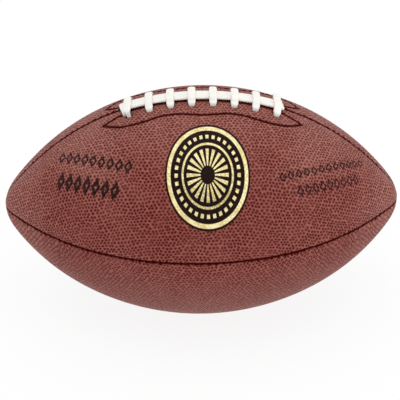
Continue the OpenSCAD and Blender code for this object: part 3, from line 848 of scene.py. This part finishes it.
def wing_lines(side):
    """The outer and the inner stitch line of one facing, as places by the lace."""
    tip, inner = (FRONT_WING_TIP, FRONT_WING_IN) if side > 0 else (REAR_WING_TIP, REAR_WING_IN)
    lines = []
    for half in ([*WING_OUT, tip], [*reversed(inner), tip]):
        whole = [(-x, c) for x, c in reversed(half)] + half[1:]
        lines.append([(x * MM, side * c * MM) for x, c in smooth_through(whole, WING_STEPS)])
    return lines


def stitched_loop(name, side, height):
    """The closed line of a facing's stitches, lying on the cover."""
    outer, inner = wing_lines(side)
    loop = outer[:-1] + inner[:0:-1]
    points = [by_lace(x, c, height) for x, c in loop]
    edges = [(i, (i + 1) % len(points)) for i in range(len(points))]
    return mesh_object(name, points, edges)


def wing_patch(name, side, ribs=48, columns=5):
    """The strip of cover between the stitch lines, for the finish to find it by."""
    def place_on(line, i):
        reach = i / ribs * (len(line) - 1)
        k = min(int(reach), len(line) - 2)
        t = reach - k
        return [line[k][j] * (1 - t) + line[k + 1][j] * t for j in (0, 1)]

    outer, inner = wing_lines(side)
    grid, faces = [], []
    for i in range(ribs + 1):
        (xa, ca), (xb, cb) = place_on(inner, i), place_on(outer, i)
        grid += [by_lace(xa + (xb - xa) * j / columns, ca + (cb - ca) * j / columns)
                 for j in range(columns + 1)]
    for i in range(ribs):
        for j in range(columns):
            a = i * (columns + 1) + j
            faces.append((a, a + 1, a + columns + 2, a + columns + 1))
    return mesh_object(name, grid, faces=faces)


# Stitches.

def stitch_tree():
    """Thread stitches at even steps along a line that lies on the ball."""
    length, pitch, thread_r, _ = WING_SEWING
    tree, size = shape_tree("thread_stitches", {
        "Path": "object", "Pitch": pitch, "Stitch length": length, "Thread radius": thread_r,
        "Turn": 0.0, "Turn spread": WING_TURN_SPREAD, "Seed": WING_SEED, "Material": "material"})
    curve = add(tree, "GeometryNodeMeshToCurve", {"Mesh": form_of(tree, size["Path"])})
    steps = add(tree, "GeometryNodeResampleCurve",
                {"Curve": curve.outputs[0], "Length": size["Pitch"]}, mode="LENGTH")
    bead = add(tree, "GeometryNodeMeshUVSphere", {"Segments": 8, "Rings": 6, "Radius": 1.0})

    # A stitch lies along the line and flat on the ball, turned a little by chance.
    tangent = tree.nodes.new("GeometryNodeInputTangent").outputs[0]
    _, y, z = split(tree, position(tree))
    along = add(tree, "FunctionNodeAlignRotationToVector", {"Vector": tangent}, axis="X")
    upright = add(tree, "FunctionNodeAlignRotationToVector",
                  {"Rotation": along.outputs[0], "Vector": join(tree, 0.0, y, z)},
                  axis="Z", pivot_axis="X")
    # Inputs 2 and 3 are the limits of a plain number.
    chance = add(tree, "FunctionNodeRandomValue",
                 {2: 0 - size["Turn spread"], 3: size["Turn spread"], "Seed": size["Seed"]},
                 data_type="FLOAT")
    spin = add(tree, "FunctionNodeEulerToRotation",
               {0: join(tree, 0.0, 0.0, size["Turn"] + Number(tree, chance.outputs[1]))})
    turned = add(tree, "FunctionNodeRotateRotation", {0: upright.outputs[0], 1: spin.outputs[0]},
                 rotation_space="LOCAL")
    laid = add(tree, "GeometryNodeInstanceOnPoints", {
        "Points": steps.outputs[0], "Instance": bead.outputs[0], "Rotation": turned.outputs[0],
        "Scale": join(tree, size["Stitch length"] / 2, size["Thread radius"],
                      size["Thread radius"] * THREAD_FLATNESS)})
    end_tree(tree, laid.outputs[0], size["Material"])
    return tree


def seam_path(name, turn, spans, depth, steps=120):
    """A line along a seam, in the given stretches of the ball's length."""
    points, edges = [], []
    for low, high in spans:
        first = len(points)
        for i in range(steps + 1):
            points.append(on_cover(low + (high - low) * i / steps, turn, -depth))
        edges += [(first + i, first + i + 1) for i in range(steps)]
    return mesh_object(name, points, edges)


# The lace.

def lace_route():
    """The lace from end to end, in rows.

    A row gives the place along, the distance from the seam, the height over the cover, the turn
    of the lace's width in degrees, its width and its thickness.
    """
    rest, band = LACE_GAP + CROSS_T / 2, LACE_GAP + LACE_T / 2
    over, run = 2 * LACE_GAP + LACE_T + CROSS_T / 2, -RUN_DEPTH - CROSS_T / 2
    cut = BEND_R * (1 - cos(radians(45)))
    slant = degrees(atan2(LACE_PITCH, 2 * (HOLE_C - BEND_R)))

    def half_cross(middle, hole, paired, turn):
        """From the run inside, up through a hole and over to the slit."""
        x, c = hole[0], abs(hole[1])
        side = 1 if hole[1] > 0 else -1
        top, low_w, high_w = ((over, SHARED_W, PAIRED_W) if paired
                              else (rest, GATHERED_W, GATHERED_W))
        rows = [(c - BEND_R, run, low_w, 0.7), (c - cut, run + cut, low_w, 0.25),
                (c, run + BEND_R, low_w, 0), (c, rest - BEND_R, low_w, 0)]
        if paired:
            rows.append((c, top - BEND_R, high_w, 0))
        rows += [(c - cut, top - cut, high_w * 0.3 + CROSS_W * 0.7, 0),
                 (c - BEND_R, top, CROSS_W, 0),
                 (LACE_W / 2 + CROSS_T * 0.55, top * 0.4 + over * 0.6, CROSS_W, 0),
                 (LACE_W / 2 * 0.85, over - LACE_GAP, CROSS_W, 0)]
        return [(middle + (x - middle) * q / c, side * q, h, turn * t, w, CROSS_T)
                for q, h, w, t in rows]

    def cross(k, turn_in, turn_out):
        """From the front hole over to the rear one."""
        front, rear = front_hole(k), rear_hole(k)
        middle = (front[0] + rear[0]) / 2
        return (half_cross(middle, front, k == 0, turn_in)
                + [(middle, 0, over, 0, CROSS_W, CROSS_T)]
                + half_cross(middle, rear, k == LAST, turn_out)[::-1])

    def strand_end(reach):
        """Up through the hole, round an elbow that reaches out past it, and onto the slit."""
        end = [(ELBOW_X, ELBOW_C, run + BEND_R, 0, SHARED_W, CROSS_T),
               (ELBOW_X, ELBOW_C, rest - BEND_R, 0, SHARED_W, CROSS_T),
               (ELBOW_X, ELBOW_C - cut, rest - cut, 0, SHARED_W, CROSS_T),
               (ELBOW_X, ELBOW_C - BEND_R, rest, 0, SHARED_W * 1.1, CROSS_T)]
        for i, (ax, ac, bx, bc) in enumerate(ELBOW_EDGES):
            t = i / (len(ELBOW_EDGES) - 1)
            ax *= reach if ax < 0 else 1
            end.append((ELBOW_X + (ax + bx) / 2 * LACE_W, (ac + bc) / 2 * LACE_W,
                        rest + (band - rest) * t, degrees(atan2(bc - ac, bx - ax)),
                        hypot(bx - ax, bc - ac) * LACE_W, CROSS_T + (LACE_T - CROSS_T) * t))
        return end

    # The first end, tucked in, and the strand along the slit to its second end.
    route = [(ELBOW_X - SHARED_W, -TAIL_C, run, TUCKED_TURN, SHARED_W, CROSS_T),
             (ELBOW_X - SHARED_W * 0.6, 0, run, TUCKED_TURN, SHARED_W * 1.2, CROSS_T),
             (ELBOW_X - SHARED_W * 0.1, ELBOW_C - BEND_R, run, RISING_TURN, SHARED_W, CROSS_T),
             (ELBOW_X, ELBOW_C - cut, run + cut, 0, SHARED_W, CROSS_T)]
    route += strand_end(1.0)
    half_strand = cross_x(0) + LACE_PITCH / 2
    route += [(half_strand * (1 - 2 * i / LAST), 0, band, 90, LACE_W, LACE_T)
              for i in range(CROSSES)]
    route += [(-x, -c, h, t, w, d) for x, c, h, t, w, d in reversed(strand_end(TIGHT_REACH))]
    route += [(-ELBOW_X, cut - ELBOW_C, run + cut, 0, SHARED_W, CROSS_T),
              (-ELBOW_X - SHARED_W * 0.1, BEND_R - ELBOW_C, run, FIRST_TURN, SHARED_W, CROSS_T),
              ((front_hole(LAST)[0] - ELBOW_X) / 2, 0, run, FIRST_TURN, GATHERED_W, CROSS_T)]

    # Back in crosses, with a slanting run inside from each to the next, and the second end.
    for k in range(LAST, -1, -1):
        route += cross(k, FIRST_TURN if k == LAST else slant, LAST_TURN if k == 0 else slant)
        if k:
            route.append(((rear_hole(k)[0] + front_hole(k - 1)[0]) / 2, 0, run, slant,
                          GATHERED_W + LACE_GAP, CROSS_T))
    route += [(cross_x(0) + SHARED_W * x, -TAIL_C * c, run, RISING_TURN, GATHERED_W, CROSS_T)
              for x, c in ((0.3, 1), (0.5, 0.2))]
    return route


def make_lace(material, steps=5, sides=20):
    """The whole lace as one swept strip with rounded edges."""
    rows = smooth_through(lace_route(), steps)
    centres = [by_lace(x * MM, c * MM, h * MM) for x, c, h, *_ in rows]
    points, uvs, heights = [], [], []
    length = 0.0
    for i, (x, c, height, turn, wide, thick) in enumerate(rows):
        here = centres[i]
        ahead = (centres[min(i + 1, len(rows) - 1)] - centres[max(i - 1, 0)]).normalized()
        if i:
            length += (here - centres[i - 1]).length
        along = (by_lace(x * MM + SLOPE_STEP, c * MM, height * MM) - here).normalized()
        around = (by_lace(x * MM, c * MM + SLOPE_STEP, height * MM) - here).normalized()
        flat = along * cos(radians(turn)) + around * sin(radians(turn))
        up = ahead.cross(flat).normalized()
        for k in range(sides):
            a = 2 * pi * k / sides
            s, t = cos(a), sin(a)
            s = copysign(abs(s) ** LACE_EDGE_POWER, s)
            t = copysign(abs(t) ** LACE_FACE_POWER, t)
            points.append(here + flat * (s * wide * MM / 2) + up * (t * thick * MM / 2))
            uvs.append((length, (k if k <= sides / 2 else sides - k) * wide * MM / sides * 2))
            heights.append(height * MM)
    piece = mesh_object("white_lace", points, faces=tube_faces(0, len(rows), sides))
    mesh = piece.data
    strip = mesh.uv_layers.new(name="strip")
    for loop in mesh.loops:
        strip.data[loop.index].uv = uvs[loop.vertex_index]
    level = mesh.attributes.new("lace_height", "FLOAT", "POINT")
    level.data.foreach_set("value", heights)
    mesh.polygons.foreach_set("use_smooth", [True] * len(mesh.polygons))
    mesh.materials.append(material)
    return piece


# Making the ball.

def dress(piece, slot, *nodes):
    """Fixes a piece to the ball and hides the solids that it stands for; its slot is not used."""
    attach(piece, "root")
    for node in nodes:
        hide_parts(node)


def make_cover():
    """The four panels. The helpers that they are measured and cut by are returned."""
    plain = pebbled_leather("pebbled_leather")
    printed = pebbled_leather("pebbled_leather_printed", True)
    tree = cover_panel_tree()
    helpers = []
    for name, seam, side, material in (
            ("panel_lace_front", 0.0, 1, printed), ("panel_lower_front", 90.0, 0, plain),
            ("panel_lower_rear", 180.0, 0, plain), ("panel_lace_rear", 270.0, -1, plain)):
        sizes = {"First seam": radians(seam), "Slit side": float(-side), "Material": material}
        if side:
            forms = {"Stitch line": stitched_loop(name + "_stitch_line", side, 0.0),
                     "Wing": wing_patch(name + "_wing", side)}
            forms["Hole centres"], forms["Hole cutters"] = hole_helpers(name, side)
            sizes.update(forms)
            helpers += forms.values()
        dress(grown(name + "_leather", tree, sizes), "cover", name)
    return helpers


def make_threads():
    """The rows of stitches. The lines that they follow are returned."""
    thread = sewing_thread()
    tree = stitch_tree()
    helpers = []
    *_, depth = WING_SEWING
    for name, side in (("front_wing_stitches", 1), ("rear_wing_stitches", -1)):
        path = stitched_loop(name + "_path", side, -depth)
        dress(grown(name, tree, {"Path": path, "Material": thread, "Seed": WING_SEED + side}),
              "cover")
        helpers.append(path)
    end_x, slit_x = HALF_LENGTH - SEAM_END, SLIT_LENGTH / 2 + SLIT_MARGIN
    whole, outside_slit = ((-end_x, end_x),), ((-end_x, LACE_X - slit_x), (LACE_X + slit_x, end_x))
    for name, turn, spans, (length, pitch, thread_r, depth) in (
            ("lace_seam_stitches", 0, outside_slit, LACE_SEAM_SEWING),
            ("front_seam_stitches", 90, whole, SEAM_SEWING),
            ("bottom_seam_stitches", 180, whole, SEAM_SEWING),
            ("rear_seam_stitches", 270, whole, SEAM_SEWING)):
        path = seam_path(name + "_path", radians(turn), spans, depth)
        dress(grown(name, tree, {
            "Path": path, "Material": thread, "Pitch": pitch, "Stitch length": length,
            "Thread radius": thread_r, "Turn": SEAM_TURN, "Turn spread": SEAM_TURN_SPREAD,
            "Seed": SEAM_SEED + turn}), "cover")
        helpers.append(path)
    return helpers


def finish_inner_parts():
    """Finishes of the pieces that the cover hides, and of the valve that shows in its hole."""
    finishes = [(woven_lining(), LININGS)]
    finishes += [(dull_finish(*values), nodes) for *values, nodes in INNER_FINISHES]
    for material, nodes in finishes:
        for name in nodes:
            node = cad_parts[name]
            for slot in node.material_slots:
                slot.material = material
            if not node.material_slots:
                node.data.materials.append(material)


# The studio.

def seen_directly(tree):
    """1 where the camera, a reflection or glass shows a surface, and 0 where it lights."""
    path = add(tree, "ShaderNodeLightPath")
    seen = Number(tree, path.outputs["Is Camera Ray"]).of("MAXIMUM", path.outputs["Is Glossy Ray"])
    return seen.of("MAXIMUM", path.outputs["Is Transmission Ray"])


def make_backdrop(scene):
    """White all round, and a pale floor under the ball that keeps its shadow."""
    world = bpy.data.worlds.new("white_studio")
    scene.world = world
    world.use_nodes = True
    tree = world.node_tree
    background = tree.nodes["Background"]
    feed(tree, background.inputs["Strength"],
         seen_directly(tree) * (1.0 - WORLD_LIGHT) + WORLD_LIGHT)
    background.inputs["Color"].default_value = WHITE

    low, reach = cad_box[0][2], FLOOR_REACH
    floor = mesh_object("floor", [(-reach, -reach, low), (reach, -reach, low),
                                  (reach, reach, low), (-reach, reach, low)],
                        faces=[(0, 1, 2, 3)])
    material = bpy.data.materials.new("pale_floor")
    material.use_nodes = True
    tree = material.node_tree
    tree.nodes.remove(tree.nodes["Principled BSDF"])
    matt = add(tree, "ShaderNodeBsdfDiffuse", {"Color": (FLOOR_TONE, FLOOR_TONE, FLOOR_TONE, 1)})
    glow = add(tree, "ShaderNodeEmission",
               {"Color": WHITE,
                "Strength": seen_directly(tree) * (FLOOR_GLOW - FLOOR_LIGHT) + FLOOR_LIGHT})
    both = add(tree, "ShaderNodeAddShader", {0: matt.outputs[0], 1: glow.outputs[0]})
    tree.links.new(both.outputs[0], tree.nodes["Material Output"].inputs["Surface"])
    floor.data.materials.append(material)


def make_studio():
    scene = bpy.context.scene
    scene.view_settings.view_transform = "Standard"
    make_backdrop(scene)
    for name, place, size, power in LAMPS:
        light = bpy.data.lights.new(name, "AREA")
        light.shape = "DISK"
        light.size, light.energy = size, power
        lamp = in_scene(name, light)
        lamp.location = place
        lamp.rotation_euler = (-Vector(place)).to_track_quat("-Z", "Y").to_euler()

    data = bpy.data.cameras.new("photo_camera")
    data.lens, data.sensor_width = CAMERA_LENS, CAMERA_SENSOR
    data.shift_x, data.shift_y = (p / IMAGE for p in SHIFT_PIXELS)
    data.clip_start, data.clip_end = CAMERA_NEAR, CAMERA_FAR
    camera = in_scene("photo_camera", data)
    place = Vector((0, -cos(CAMERA_RISE), sin(CAMERA_RISE))) * CAMERA_AWAY
    aim = (-place).to_track_quat("-Z", "Y").to_matrix().to_4x4()
    camera.matrix_world = Matrix.Translation(place) @ aim @ Matrix.Rotation(-CAMERA_ROLL, 4, "Z")
    scene.camera = camera


make_studio()
helpers = make_cover() + make_threads()
dress(make_lace(lace_vinyl()), "lace", "lace")
finish_inner_parts()
for helper in helpers:
    bpy.data.objects.remove(helper)
